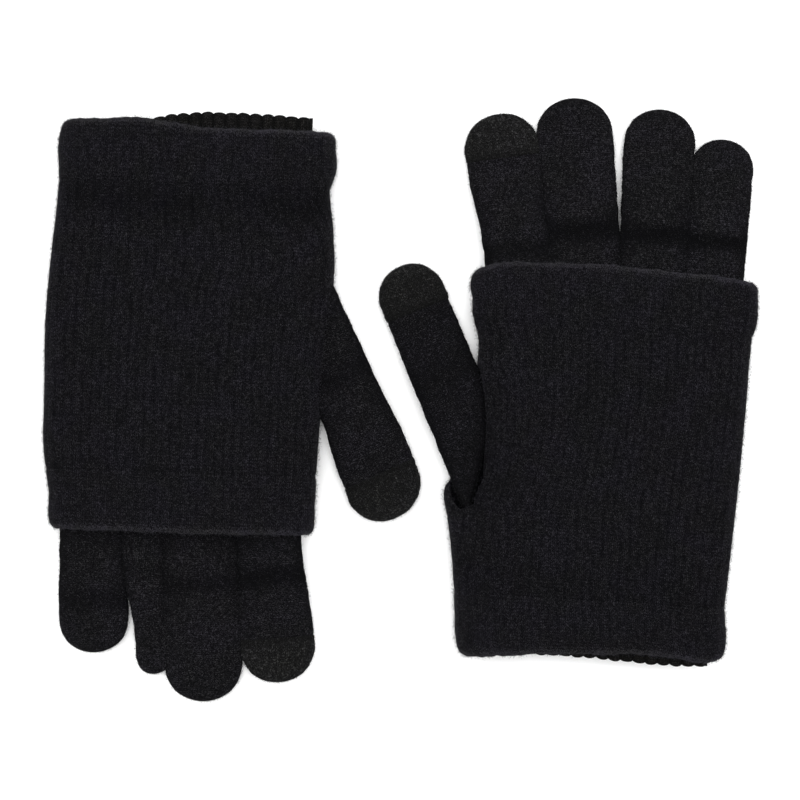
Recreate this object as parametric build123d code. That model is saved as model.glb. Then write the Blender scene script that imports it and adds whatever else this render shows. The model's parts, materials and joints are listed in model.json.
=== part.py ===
"""A pair of two-layer knitted gloves lying flat on a table.

Each glove is a thin five-finger liner with touch tips, and a thick ribbed fingerless sleeve over it.
The right glove lies on its palm with its fingers towards -Y, the left one on its back with its
fingers towards +Y. Sizes are in millimetres, and +Z points up from the table.

Each glove is first made in its own hand frame: fingers towards +Y, thumb towards -X, and the middle
of the sleeve's wrist edge at the origin, on the table.
"""

from build123d import *
import os
from math import acos, asin, atan2, cos, degrees, hypot, radians, sin, tan

# Knitted walls and the gaps between them
liner_wall = 1.3
sleeve_wall = 2.4
hand_hollow = 5.0        # free height inside the liner's hand and cuff
finger_hollow = 2.6      # free height inside each finger
thumb_hollow = 3.2       # free height inside the thumb
layer_gap = 0.35         # between the liner and the sleeve
side_gap = 0.5           # between two fingers
knuckle_gap = 0.8        # between the knuckle line and a finger
hand_end_gap = 0.3       # between the knuckle line and the hand
side_flat = 0.3          # straight band left between the two rounded edges of a flattened tube
table_gap = 0.05         # under a fingertip

# Shapes that only cut others
cut_reach = 200.0        # how far a cutting block or sheet reaches, well past any piece
same_point = 0.01        # two corners this close are the same one

# Liner
wrist_width = 88.0
cuff_length = 52.0
corner_radius = 6.0
finger_corner_radius = 4.5
overrun = 16.0           # how far an outline runs past an end before the end is cut square
touch_tip_length = 17.0

# Thumb, which leaves the side of the hand
thumb_lean = 26.5
thumb_back = 60.0             # from the knuckle line back to the middle of the thumb's fold line
thumb_root_width = 25.0
thumb_stub_run = 40.0         # from where the stub leaves the hand to the middle of the fold line
thumb_stub_slope = 32.0       # how steeply the stub's wrist side runs out to the thumb
thumb_touch_tip_length = 18.0

# Sleeve
hem_length = 22.0
hem_bulge = 0.8
slide_travel = 6.0            # how far the sleeve shifts towards the fingertips
thumb_hole_reach = 10.0       # how far the thumb hole reaches in from the sleeve's side
thumb_hole_slack = 3.0        # past the thumb at the finger end of the hole, and half of it at the other

# name, width at the knuckle, width at the tip, length past the knuckle line, lean towards the thumb,
# and whether the finger is folded in half along its length against its neighbour
left_fingers = [
    ("index", 23.7, 27.0, 43.4, 12.0, False),
    ("middle", 26.4, 28.0, 50.6, 6.6, False),
    ("ring", 24.6, 26.6, 48.8, 1.0, False),
    ("little", 22.2, 23.2, 38.3, -1.2, False),
]
right_fingers = [
    ("index", 24.0, 26.8, 46.8, 6.0, False),
    ("middle", 27.6, 28.6, 54.0, 3.0, False),
    ("ring", 13.4, 10.8, 45.8, 2.0, True),
    ("little", 24.0, 26.0, 37.8, 1.5, False),
]

# How each glove lies, which way its palm faces, and what differs between the two. The rooms are the
# sleeve's play on each side of the hand, and palm_shown and cuff_shown stand out past the sleeve.
gloves = [
    dict(
        side="right", palm=-1, turn=178.2, place=(-76.5, 102.8), fingers=right_fingers,
        sleeve_length=152.0, wrist_room=4.2, knuckle_room=1.2, palm_shown=9.0, cuff_shown=5.5,
        knuckle_middle=0.4, thumb_past_sleeve=11.5, thumb_length=46.5, thumb_tip_width=27.0,
    ),
    dict(
        side="left", palm=1, turn=-4.2, place=(70.5, -96.8), fingers=left_fingers,
        sleeve_length=147.0, wrist_room=3.1, knuckle_room=0.3, palm_shown=12.0, cuff_shown=3.0,
        knuckle_middle=-0.7, thumb_past_sleeve=8.6, thumb_length=46.9, thumb_tip_width=24.6,
    ),
]

# Worked out from the sizes above
hand_thickness = hand_hollow + 2 * liner_wall
finger_thickness = finger_hollow + 2 * liner_wall
thumb_thickness = thumb_hollow + 2 * liner_wall
sleeve_thickness = hand_thickness + 2 * (layer_gap + sleeve_wall)
middle_height = sleeve_thickness / 2


def rounded(outline, radius):
    """A straight-sided outline with every corner rounded."""
    corners = [(v.X, v.Y) for v in outline.face().outer_wire().vertices()]
    return make_face(FilletPolyline(*corners, radius=radius, close=True))


def flattened(outline, thickness):
    """A flattened tube's outer shape: the outline made thick, with its edges rounded over."""
    slab = extrude(outline, thickness / 2, both=True)
    rims = slab.edges().group_by(Axis.Z)
    return fillet(rims[0] + rims[-1], (thickness - side_flat) / 2)


def knitted_shell(outlines, thickness, wall):
    """Flattened tubes opening into each other, closed all round, with a wall of even thickness."""
    outside = [flattened(o, thickness) for o in outlines]
    inside = [flattened(offset(o, -wall, kind=Kind.ARC), thickness - 2 * wall) for o in outlines]
    return Part() + outside - inside


def block(x, y, z):
    """A box between pairs of limits."""
    size = (x[1] - x[0], y[1] - y[0], z[1] - z[0])
    middle = ((x[0] + x[1]) / 2, (y[0] + y[1]) / 2, (z[0] + z[1]) / 2)
    return Pos(*middle) * Box(*size)


def beyond(shape, y):
    """The part of a shape on the far side of y."""
    return shape & block((-cut_reach, cut_reach), (y, y + 2 * cut_reach), (-cut_reach, cut_reach))


def before(shape, y):
    """The part of a shape on the near side of y."""
    return shape & block((-cut_reach, cut_reach), (y - 2 * cut_reach, y), (-cut_reach, cut_reach))


def finger_outline(root_width, tip_width, length, folded):
    """A finger lying along +Y from the knuckle line. Its sides run tangent into a round tip."""
    half = root_width / 2
    radius = tip_width if folded else tip_width / 2
    middle = -half if folded else 0.0
    centre = length - radius
    turn = atan2(-centre, half - middle) + acos(radius / hypot(half - middle, centre))
    touch = (middle + radius * cos(turn), centre + radius * sin(turn))
    slope = (touch[0] - half) / touch[1]
    right_end = (half - slope * overrun, -overrun)
    if folded:
        left_end = (-half, -overrun)
        tip = [
            RadiusArc(touch, (-half, length), -radius),
            Line((-half, length), left_end),
        ]
    else:
        left_touch = (-touch[0], touch[1])
        left_end = (-right_end[0], -overrun)
        tip = [
            ThreePointArc(touch, (0, length), left_touch),
            Line(left_touch, left_end),
        ]
    face = make_face([Line(right_end, touch), *tip, Line(left_end, right_end)])
    corners = [right_end, left_end] + ([(-half, length)] if folded else [])
    sharp = [v for v in face.vertices() if any(hypot(v.X - x, v.Y - y) < same_point for x, y in corners)]
    return fillet(sharp, finger_corner_radius)


def droop(length, thickness):
    """The angle that lets a digit's tip down to the table from the fold line along its top side."""
    edge = (thickness - side_flat) / 2
    reach, below = length - edge, thickness - edge
    drop = middle_height + thickness / 2 - edge - table_gap
    return degrees(asin(drop / hypot(reach, below)) - atan2(below, reach))


def knuckle(glove):
    """How far the knuckle line is from the sleeve's wrist edge."""
    return glove["sleeve_length"] + glove["palm_shown"]


def knuckle_width(glove):
    """The width of the four fingers side by side."""
    widths = [f[1] for f in glove["fingers"]]
    return sum(widths) + side_gap * (len(widths) - 1)


def finger_roots(glove):
    """The middle of each finger's root along the knuckle line, in order from the thumb side."""
    at = glove["knuckle_middle"] - knuckle_width(glove) / 2
    roots = []
    for finger in glove["fingers"]:
        roots.append(at + finger[1] / 2)
        at += finger[1] + side_gap
    return roots


def sleeve_half(glove, y):
    """Half the sleeve's width at a distance from its wrist edge."""
    wrist = wrist_width / 2 + glove["wrist_room"] + sleeve_wall
    fingers = knuckle_width(glove) / 2 + abs(glove["knuckle_middle"]) + glove["knuckle_room"] + sleeve_wall
    return wrist + (fingers - wrist) * y / glove["sleeve_length"]


def thumb_root(glove):
    """The middle of the thumb's fold line."""
    y = knuckle(glove) - thumb_back
    return -sleeve_half(glove, y) - glove["thumb_past_sleeve"], y


def thumb_stub_start(glove):
    """How far from the sleeve's wrist edge the thumb stub leaves the hand."""
    return thumb_root(glove)[1] - thumb_stub_run


def laid_digit(shape, lean, root, thickness, down, cut_lean):
    """Turns a digit to its lean, cuts its root square to its fold line and lets it down on the table."""
    placed = Pos(root[0], root[1], middle_height) * Rot(0, 0, cut_lean)
    shape = beyond(Rot(0, 0, lean - cut_lean) * shape, knuckle_gap)
    fold = Pos(0, 0, thickness / 2)
    return placed * fold * Rot(-down, 0, 0) * fold.inverse() * shape


def make_finger(glove, finger, root_x):
    """A finger as its open tube and, for the index finger, its touch tip."""
    name, root_width, tip_width, length, lean, folded = finger
    outline = finger_outline(root_width, tip_width, length, folded)
    shell = knitted_shell([outline], finger_thickness, liner_wall)
    down = droop(length, finger_thickness)
    root = (root_x, knuckle(glove))
    pieces = {f"{name}_finger": shell}
    if name == "index":
        tip_start = length - touch_tip_length
        pieces = {"index_finger": before(shell, tip_start), "index_touch_tip": beyond(shell, tip_start)}
    return {n: laid_digit(s, lean, root, finger_thickness, down, 0) for n, s in pieces.items()}


def make_thumb(glove):
    """The thumb past its fold line, as an open tube and a touch tip."""
    length = glove["thumb_length"]
    tip_width = glove["thumb_tip_width"]
    outline = finger_outline(thumb_root_width, tip_width, length, False)
    shell = knitted_shell([outline], thumb_thickness, liner_wall)
    tip_start = length - thumb_touch_tip_length
    pieces = {"thumb": before(shell, tip_start), "thumb_touch_tip": beyond(shell, tip_start)}
    down = droop(length, thumb_thickness)
    return {
        n: laid_digit(s, thumb_lean, thumb_root(glove), thumb_thickness, down, thumb_lean)
        for n, s in pieces.items()
    }


def hand_outlines(glove):
    """The flat outlines of the palm with its cuff and of the thumb stub, running past every open end."""
    left = glove["knuckle_middle"] - knuckle_width(glove) / 2
    right = glove["knuckle_middle"] + knuckle_width(glove) / 2
    half = wrist_width / 2
    near = -glove["cuff_shown"] - overrun
    far = knuckle(glove) + overrun
    palm = make_face(Polyline((-half, near), (half, near), (right, far), (left, far), close=True))
    along = Pos(*thumb_root(glove)) * Rot(0, 0, thumb_lean)
    stub = Rectangle(thumb_root_width, overrun + thumb_stub_run)
    stub = along * Pos(0, (overrun - thumb_stub_run) / 2) * stub
    slope = Pos(-half, thumb_stub_start(glove)) * Rot(0, 0, -thumb_stub_slope)
    stub &= slope * Pos(0, cut_reach / 2) * Rectangle(2 * cut_reach, cut_reach)
    return [rounded(palm, corner_radius), rounded(stub, corner_radius)]


def make_hand(glove):
    """The liner's cuff and its hand with the thumb stub, open at the wrist, the knuckles and the thumb."""
    shell = knitted_shell(hand_outlines(glove), hand_thickness, liner_wall)
    shell = beyond(before(shell, knuckle(glove) - hand_end_gap), -glove["cuff_shown"])
    fold = Pos(*thumb_root(glove)) * Rot(0, 0, thumb_lean)
    thumb_side = thumb_root_width / 2 + knuckle_gap
    shell -= fold * block((-thumb_side, thumb_side), (-hand_end_gap, 2 * overrun), (-cut_reach, cut_reach))
    cuff_top = cuff_length - glove["cuff_shown"]
    pieces = {"liner_cuff": before(shell, cuff_top), "liner_hand": beyond(shell, cuff_top)}
    return {n: Pos(0, 0, middle_height) * s for n, s in pieces.items()}


def sleeve_outline(glove, extra):
    """The sleeve's flat outline, running past both ends, and wider by extra on each side."""
    start, end = -overrun, glove["sleeve_length"] + overrun
    near, far = (sleeve_half(glove, y) + extra for y in (start, end))
    corners = [(-near, start), (near, start), (far, end), (-far, end)]
    return rounded(make_face(Polyline(*corners, close=True)), corner_radius)


def thumb_hole(glove):
    """What is cut from the palm side of the sleeve for the thumb, up to the sleeve's other wall."""
    lean = radians(thumb_lean)
    root_x, root_y = thumb_root(glove)
    side = sleeve_half(glove, root_y)
    inner_x = root_x + thumb_root_width / 2 * cos(lean)
    inner_y = root_y + thumb_root_width / 2 * sin(lean)
    crotch = inner_y + (side + inner_x) / tan(lean)
    low = thumb_stub_start(glove) - slide_travel - thumb_hole_slack / 2
    high = crotch + thumb_hole_slack
    lens = Pos(-side, (low + high) / 2) * Ellipse(thumb_hole_reach, (high - low) / 2)
    depth = sleeve_thickness - sleeve_wall - layer_gap / 2
    cut = extrude(lens, depth + overrun)
    if glove["palm"] > 0:
        return Pos(0, 0, sleeve_thickness / 2 - depth) * cut
    return Pos(0, 0, -sleeve_thickness / 2 - overrun) * cut


def make_sleeve(glove):
    """The sleeve as its ribbed tube with the thumb hole, and a folded hem at each end."""
    length = glove["sleeve_length"]
    tube = knitted_shell([sleeve_outline(glove, 0)], sleeve_thickness, sleeve_wall)
    band = knitted_shell([sleeve_outline(glove, hem_bulge)], sleeve_thickness, sleeve_wall)
    pieces = {
        "sleeve_wrist_hem": beyond(before(band, hem_length), 0),
        "sleeve": beyond(before(tube, length - hem_length), hem_length) - thumb_hole(glove),
        "sleeve_finger_hem": beyond(before(band, length), length - hem_length),
    }
    return {n: Pos(0, 0, middle_height) * s for n, s in pieces.items()}


def make_glove(glove):
    """Every piece of one glove, by name, placed on the table."""
    pieces = {**make_hand(glove), **make_thumb(glove), **make_sleeve(glove)}
    for finger, root_x in zip(glove["fingers"], finger_roots(glove)):
        pieces.update(make_finger(glove, finger, root_x))
    where = Pos(*glove["place"]) * Rot(0, 0, glove["turn"])
    return {f"{glove['side']}_{name}": where * shape for name, shape in pieces.items()}


def make_pair():
    """Both gloves, with the middle of the pair at the origin, and how far they were shifted."""
    pieces = {}
    for glove in gloves:
        pieces.update(make_glove(glove))
    box = Compound(children=[s.moved(Location()) for s in pieces.values()]).bounding_box()
    shift = Vector(-(box.min.X + box.max.X) / 2, -(box.min.Y + box.max.Y) / 2, -box.min.Z)
    return {n: Pos(shift) * s for n, s in pieces.items()}, shift


pair, shift = make_pair()
os.makedirs("parts", exist_ok=True)
for name, shape in pair.items():
    export_step(shape, f"parts/{name}.step")
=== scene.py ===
import json
import math

import bmesh
import bpy
import numpy as np
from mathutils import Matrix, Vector


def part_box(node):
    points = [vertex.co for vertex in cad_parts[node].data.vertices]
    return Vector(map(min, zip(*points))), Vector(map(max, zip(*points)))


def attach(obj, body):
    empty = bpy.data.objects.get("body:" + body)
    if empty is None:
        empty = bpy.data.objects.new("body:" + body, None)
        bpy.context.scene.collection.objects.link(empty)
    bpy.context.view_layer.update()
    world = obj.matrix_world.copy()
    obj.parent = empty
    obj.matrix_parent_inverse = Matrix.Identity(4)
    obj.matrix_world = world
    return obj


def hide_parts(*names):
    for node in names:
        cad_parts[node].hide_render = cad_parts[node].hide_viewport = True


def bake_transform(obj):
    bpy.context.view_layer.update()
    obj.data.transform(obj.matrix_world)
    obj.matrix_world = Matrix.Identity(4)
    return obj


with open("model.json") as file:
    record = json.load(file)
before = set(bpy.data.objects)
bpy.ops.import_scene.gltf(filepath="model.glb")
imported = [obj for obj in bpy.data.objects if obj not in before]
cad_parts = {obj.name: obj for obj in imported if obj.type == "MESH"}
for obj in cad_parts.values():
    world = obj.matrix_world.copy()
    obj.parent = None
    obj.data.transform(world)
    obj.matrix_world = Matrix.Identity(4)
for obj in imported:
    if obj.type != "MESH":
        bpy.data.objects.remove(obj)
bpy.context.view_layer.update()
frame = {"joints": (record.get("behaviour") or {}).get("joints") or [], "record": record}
mm = 0.001
sides = ("right", "left")


# where each glove lies, read from the frame
def jointNamed(name):
    return next(j for j in frame["joints"] if j["name"] == name)


def mountNamed(name):
    return next(m for m in frame["record"]["mounts"] if m["name"] == name)


cuffShown = {"right": 5.5, "left": 3.0}  # mm of cuff past the sleeve's wrist edge


def handFrame(side):
    along = Vector(jointNamed(side + "_sleeve_slide")["axis"]).normalized()
    up = Vector((0, 0, 1))
    origin = Vector(mountNamed(side + "_wrist_opening")["pos_m"]) + along * cuffShown[side] * mm
    origin.z = 0
    return {"origin": origin, "across": along.cross(up), "along": along, "up": up}


hands = {side: handFrame(side) for side in sides}


def toRow(side, x, y, z):  # hand millimetres, thumb towards -x and fingertips towards +y, to row metres
    h = hands[side]
    place = np.stack([x, y, z], -1) * mm
    turn = np.array([h["across"], h["along"], h["up"]])
    return place @ turn + np.array(h["origin"])


def toHand(side, point):
    h = hands[side]
    away = Vector(point) - h["origin"]
    return away.dot(h["across"]) / mm, away.dot(h["along"]) / mm, away.z / mm


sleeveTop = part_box("left_sleeve")[1].z / mm
middleHeight = sleeveTop / 2


# lines, waves and grids
def smoothLine(points):
    xs, ys = np.array(points, float).T
    slopes = np.gradient(ys, xs)

    def at(t):
        t = np.clip(t, xs[0], xs[-1])
        i = np.clip(np.searchsorted(xs, t, side="right") - 1, 0, len(xs) - 2)
        gap = xs[i + 1] - xs[i]
        k = (t - xs[i]) / gap
        value = (2 * k ** 3 - 3 * k ** 2 + 1) * ys[i] + (3 * k ** 2 - 2 * k ** 3) * ys[i + 1]
        return value + gap * ((k ** 3 - 2 * k ** 2 + k) * slopes[i] + (k ** 3 - k ** 2) * slopes[i + 1])

    return at


waveMix = {"count": 7, "shortest": 0.7, "longest": 1.6, "gain": 1.6}


def waves(x, y, size, seed):  # soft random hills about size across, from -1 to 1
    draw = np.random.default_rng(seed)
    total = np.zeros(np.broadcast(x, y).shape)
    for _ in range(waveMix["count"]):
        angle = draw.uniform(0, 2 * math.pi)
        k = 2 * math.pi / (size * draw.uniform(waveMix["shortest"], waveMix["longest"]))
        total += np.sin(k * (x * math.cos(angle) + y * math.sin(angle)) + draw.uniform(0, 2 * math.pi))
    return total / waveMix["count"] * waveMix["gain"]


def ease(t):
    t = np.clip(t, 0, 1)
    return t * t * (3 - 2 * t)


def gridMesh(name, columns, rows):
    bm = bmesh.new()
    bmesh.ops.create_grid(bm, x_segments=columns, y_segments=rows, size=0.5)
    mesh = bpy.data.meshes.new(name)
    bm.to_mesh(mesh)
    bm.free()
    flat = np.empty(len(mesh.vertices) * 3)
    mesh.vertices.foreach_get("co", flat)
    flat = flat.reshape(-1, 3) + 0.5
    return mesh, flat[:, 0], flat[:, 1]


def layKnit(mesh, alongU, alongV):  # the knit's own map, in metres
    corner = np.empty(len(mesh.loops), np.int32)
    mesh.loops.foreach_get("vertex_index", corner)
    layer = mesh.uv_layers.new(name="knit")
    layer.data.foreach_set("uv", np.stack([alongU, alongV], -1)[corner].astype(np.float32).ravel())


def shade(mesh, name, values):
    spot = mesh.attributes.new(name, "FLOAT", "POINT")
    spot.data.foreach_set("value", np.asarray(values, np.float32))


weldGap = 2e-6
noEdge = 1e-7


def finishMesh(mesh, side, x, y, z, material, flip=False):
    mesh.vertices.foreach_set("co", toRow(side, x, y, z).astype(np.float32).ravel())
    bm = bmesh.new()
    bm.from_mesh(mesh)
    bmesh.ops.remove_doubles(bm, verts=bm.verts, dist=weldGap)
    bmesh.ops.dissolve_degenerate(bm, edges=bm.edges, dist=noEdge)
    if flip:
        bmesh.ops.reverse_faces(bm, faces=bm.faces)
    bm.to_mesh(mesh)
    bm.free()
    mesh.shade_smooth()
    mesh.materials.append(material)
    obj = bpy.data.objects.new(mesh.name, mesh)
    bpy.context.scene.collection.objects.link(obj)
    return obj


def giveWall(obj, thickness):  # the knit's thickness, inwards
    wall = obj.modifiers.new("wall", "SOLIDIFY")
    wall.thickness = thickness * mm
    wall.offset = -1


# shader groups that every finish shares
def newGroup(name, inputs, outputs):
    group = bpy.data.node_groups.new(name, "ShaderNodeTree")
    for label, kind, value in inputs:
        socket = group.interface.new_socket(name=label, in_out="INPUT", socket_type=kind)
        if value is not None:
            socket.default_value = value
    for label, kind in outputs:
        group.interface.new_socket(name=label, in_out="OUTPUT", socket_type=kind)
    return group, group.nodes.new("NodeGroupInput"), group.nodes.new("NodeGroupOutput")


def mathNode(tree, kind, first, second=None, third=None, clamp=False):
    node = tree.nodes.new("ShaderNodeMath")
    node.operation = kind
    node.use_clamp = clamp
    for socket, value in zip(node.inputs, (first, second, third)):
        if value is None:
            continue
        if isinstance(value, (int, float)):
            socket.default_value = value
        else:
            tree.links.new(value, socket)
    return node.outputs[0]


loopForm = {"slant": 1.3, "courseRound": 0.7, "legRound": 0.6}


def makeLoopGroup():  # rows of V-shaped knit loops
    wanted = [("Vector", "NodeSocketVector", None), ("Wale", "NodeSocketFloat", 1.2),
              ("Course", "NodeSocketFloat", 0.9)]
    group, given, out = newGroup("knitLoops", wanted, [("Height", "NodeSocketFloat")])
    split = group.nodes.new("ShaderNodeSeparateXYZ")
    group.links.new(given.outputs["Vector"], split.inputs[0])
    across = mathNode(group, "DIVIDE", split.outputs["X"], given.outputs["Wale"])
    along = mathNode(group, "DIVIDE", split.outputs["Y"], given.outputs["Course"])
    leg = mathNode(group, "PINGPONG", across, 0.5)
    slanted = mathNode(group, "ADD", along, mathNode(group, "MULTIPLY", leg, loopForm["slant"]))
    course = mathNode(group, "SINE", mathNode(group, "MULTIPLY", mathNode(group, "FRACT", slanted), math.pi))
    rib = mathNode(group, "SINE", mathNode(group, "MULTIPLY", leg, 2 * math.pi))
    course = mathNode(group, "POWER", course, loopForm["courseRound"])
    height = mathNode(group, "MULTIPLY", course, mathNode(group, "POWER", rib, loopForm["legRound"]))
    group.links.new(height, out.inputs["Height"])
    return group


woolForm = {  # share of the scale, detail and warp of each noise
    "fine": (1.0, 1.0, 0.8), "coarse": (0.33, 2.0, 0.5), "patch": (0.035, 2.0, 0.3),
    "fineShare": 0.75, "coarseShare": 0.25, "strandThin": 9.0,
}


def makeWoolGroup():  # tangled stray yarn at two scales, and slow patches
    wanted = [("Vector", "NodeSocketVector", None), ("Scale", "NodeSocketFloat", 1500.0)]
    results = [(label, "NodeSocketFloat") for label in ("Height", "Strand", "Patch")]
    group, given, out = newGroup("woolTangle", wanted, results)

    def noise(kind):
        scaleFactor, detail, warp = woolForm[kind]
        node = group.nodes.new("ShaderNodeTexNoise")
        node.inputs["Detail"].default_value = detail
        node.inputs["Distortion"].default_value = warp
        group.links.new(given.outputs["Vector"], node.inputs["Vector"])
        group.links.new(mathNode(group, "MULTIPLY", given.outputs["Scale"], scaleFactor), node.inputs["Scale"])
        return node.outputs[0]

    fine, coarse, patch = noise("fine"), noise("coarse"), noise("patch")
    height = mathNode(group, "MULTIPLY", fine, woolForm["fineShare"])
    height = mathNode(group, "MULTIPLY_ADD", coarse, woolForm["coarseShare"], height)
    ridge = mathNode(group, "ABSOLUTE", mathNode(group, "SUBTRACT", fine, 0.5))
    strand = mathNode(group, "SUBTRACT", 1.0, mathNode(group, "MULTIPLY", ridge, woolForm["strandThin"]),
                      clamp=True)
    group.links.new(height, out.inputs["Height"])
    group.links.new(strand, out.inputs["Strand"])
    group.links.new(patch, out.inputs["Patch"])
    return group


loopGroup = makeLoopGroup()
woolGroup = makeWoolGroup()


def placeGroup(tree, group, vector, values):
    node = tree.nodes.new("ShaderNodeGroup")
    node.node_tree = group
    tree.links.new(vector, node.inputs["Vector"])
    for name, value in values.items():
        node.inputs[name].default_value = value
    return node


knitFinish = {"bumpDepth": 0.5, "castFrom": 0.40, "castTo": 0.62, "roughSpread": 0.06, "sheenRough": 0.55}


def knitMaterial(name, look):
    material = bpy.data.materials.new(name)
    material.use_nodes = True
    tree = material.node_tree
    shader = tree.nodes["Principled BSDF"]
    uv = tree.nodes.new("ShaderNodeUVMap")
    uv.uv_map = "knit"
    coords = tree.nodes.new("ShaderNodeTexCoord")
    dip = tree.nodes.new("ShaderNodeAttribute")
    dip.attribute_name = "dip"
    pitch = {"Wale": look["wale"] * mm, "Course": look["course"] * mm}
    loops = placeGroup(tree, loopGroup, uv.outputs["UV"], pitch)
    wool = placeGroup(tree, woolGroup, coords.outputs["Object"], {"Scale": look["tangle"]})

    stitch = mathNode(tree, "MULTIPLY", loops.outputs["Height"], look["loopDepth"])
    height = mathNode(tree, "MULTIPLY_ADD", wool.outputs["Height"], look["woolDepth"], stitch)
    bump = tree.nodes.new("ShaderNodeBump")
    bump.inputs["Strength"].default_value = look["bump"]
    bump.inputs["Distance"].default_value = knitFinish["bumpDepth"] * mm
    tree.links.new(height, bump.inputs["Height"])
    tree.links.new(bump.outputs["Normal"], shader.inputs["Normal"])

    tone = mathNode(tree, "MULTIPLY_ADD", loops.outputs["Height"], look["loopTone"], -look["toneStart"])
    tone = mathNode(tree, "MULTIPLY_ADD", wool.outputs["Strand"], look["strandTone"], tone)
    tone = mathNode(tree, "MULTIPLY_ADD", wool.outputs["Height"], look["grainTone"], tone)
    tone = mathNode(tree, "MULTIPLY_ADD", wool.outputs["Patch"], look["patchTone"], tone)
    # painted light and shade: the mesh attribute read here darkens the knit where shade falls and, where it is
    # below zero, lightens it as a painted highlight
    darker = mathNode(tree, "MULTIPLY", dip.outputs["Fac"], look["paintedShadingTone"])
    tone = mathNode(tree, "SUBTRACT", tone, darker, clamp=True)
    ramp = tree.nodes.new("ShaderNodeValToRGB")
    ramp.color_ramp.elements[0].color = (*look["dark"], 1)
    ramp.color_ramp.elements[1].color = (*look["light"], 1)
    ramp.color_ramp.elements.new(0.5).color = (*look["mid"], 1)
    tree.links.new(tone, ramp.inputs["Fac"])
    cast = tree.nodes.new("ShaderNodeMapRange")
    cast.inputs["From Min"].default_value = knitFinish["castFrom"]
    cast.inputs["From Max"].default_value = knitFinish["castTo"]
    tree.links.new(wool.outputs["Patch"], cast.inputs["Value"])
    tint = tree.nodes.new("ShaderNodeMix")
    tint.data_type = "RGBA"
    tint.inputs["A"].default_value = (*look["plainCast"], 1)
    tint.inputs["B"].default_value = (*look["blueCast"], 1)
    tree.links.new(cast.outputs["Result"], tint.inputs["Factor"])
    dyed = tree.nodes.new("ShaderNodeMix")
    dyed.data_type, dyed.blend_type = "RGBA", "MULTIPLY"
    dyed.inputs["Factor"].default_value = 1.0
    tree.links.new(ramp.outputs["Color"], dyed.inputs["A"])
    tree.links.new(tint.outputs["Result"], dyed.inputs["B"])
    tree.links.new(dyed.outputs["Result"], shader.inputs["Base Color"])
    rough = tree.nodes.new("ShaderNodeMapRange")
    rough.inputs["To Min"].default_value = look["rough"] + knitFinish["roughSpread"]
    rough.inputs["To Max"].default_value = look["rough"] - knitFinish["roughSpread"]
    tree.links.new(wool.outputs["Strand"], rough.inputs["Value"])
    tree.links.new(rough.outputs["Result"], shader.inputs["Roughness"])
    shader.inputs["Specular IOR Level"].default_value = look["gloss"]
    shader.inputs["Sheen Weight"].default_value = look["sheen"]
    shader.inputs["Sheen Roughness"].default_value = knitFinish["sheenRough"]
    shader.inputs["Sheen Tint"].default_value = (*look["sheenTint"], 1)
    return material


def fibreMaterial(name, look):
    material = bpy.data.materials.new(name)
    material.use_nodes = True
    tree = material.node_tree
    shader = tree.nodes["Principled BSDF"]
    coords = tree.nodes.new("ShaderNodeTexCoord")
    wool = placeGroup(tree, woolGroup, coords.outputs["Object"], {"Scale": look["tangle"]})
    ramp = tree.nodes.new("ShaderNodeValToRGB")
    ramp.color_ramp.elements[0].color = (*look["dark"], 1)
    ramp.color_ramp.elements[1].color = (*look["light"], 1)
    tree.links.new(wool.outputs["Height"], ramp.inputs["Fac"])
    tree.links.new(ramp.outputs["Color"], shader.inputs["Base Color"])
    shader.inputs["Roughness"].default_value = look["rough"]
    shader.inputs["Specular IOR Level"].default_value = look["gloss"]
    return material


knitLooks = {
    "sleeve": {
        "wale": 1.575, "course": 1.25, "tangle": 2300.0, "loopDepth": 0.8, "woolDepth": 1.3, "bump": 1.0,
        "loopTone": 0.30, "strandTone": 0.10, "grainTone": 3.2, "patchTone": 0.25, "toneStart": 1.60,
        "paintedShadingTone": 0.26, "rough": 0.86, "gloss": 0.035, "sheen": 0.004, "sheenTint": (0.8, 0.8, 1.0),
        "plainCast": (1.0, 1.0, 0.95), "blueCast": (0.99, 0.96, 1.06),
        "dark": (0.0018, 0.0018, 0.0024), "mid": (0.0060, 0.0058, 0.0069), "light": (0.0290, 0.0282, 0.0320),
    },
    "liner": {
        "wale": 1.05, "course": 0.8, "tangle": 2200.0, "loopDepth": 0.9, "woolDepth": 1.2, "bump": 1.0,
        "loopTone": 0.30, "strandTone": 0.10, "grainTone": 3.6, "patchTone": 0.25, "toneStart": 1.78,
        "paintedShadingTone": 0.7, "rough": 0.84, "gloss": 0.04, "sheen": 0.004, "sheenTint": (0.85, 0.85, 1.0),
        "plainCast": (1.0, 1.0, 0.97), "blueCast": (0.98, 0.96, 1.04),
        "dark": (0.0016, 0.0016, 0.0020), "mid": (0.0058, 0.0056, 0.0066), "light": (0.0390, 0.0380, 0.0420),
    },
    "tip": {
        "wale": 1.5, "course": 1.2, "tangle": 1900.0, "loopDepth": 1.2, "woolDepth": 1.8, "bump": 1.0,
        "loopTone": 0.30, "strandTone": 0.10, "grainTone": 3.8, "patchTone": 0.2, "toneStart": 1.84,
        "paintedShadingTone": 0.4, "rough": 0.76, "gloss": 0.06, "sheen": 0.01, "sheenTint": (1.0, 1.0, 1.0),
        "plainCast": (1.0, 1.0, 0.97), "blueCast": (0.98, 0.97, 1.03),
        "dark": (0.0020, 0.0020, 0.0020), "mid": (0.0080, 0.0080, 0.0079), "light": (0.0520, 0.0520, 0.0510),
    },
    "cuff": {
        "wale": 1.5, "course": 1.0, "tangle": 2200.0, "loopDepth": 1.0, "woolDepth": 1.2, "bump": 1.0,
        "loopTone": 0.30, "strandTone": 0.10, "grainTone": 3.2, "patchTone": 0.2, "toneStart": 1.55,
        "paintedShadingTone": 0.5, "rough": 0.84, "gloss": 0.04, "sheen": 0.004, "sheenTint": (1.0, 1.0, 1.0),
        "plainCast": (1.02, 1.0, 0.95), "blueCast": (1.0, 0.97, 1.0),
        "dark": (0.0018, 0.0018, 0.0018), "mid": (0.0062, 0.0060, 0.0058), "light": (0.0270, 0.0262, 0.0255),
    },
}
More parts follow.
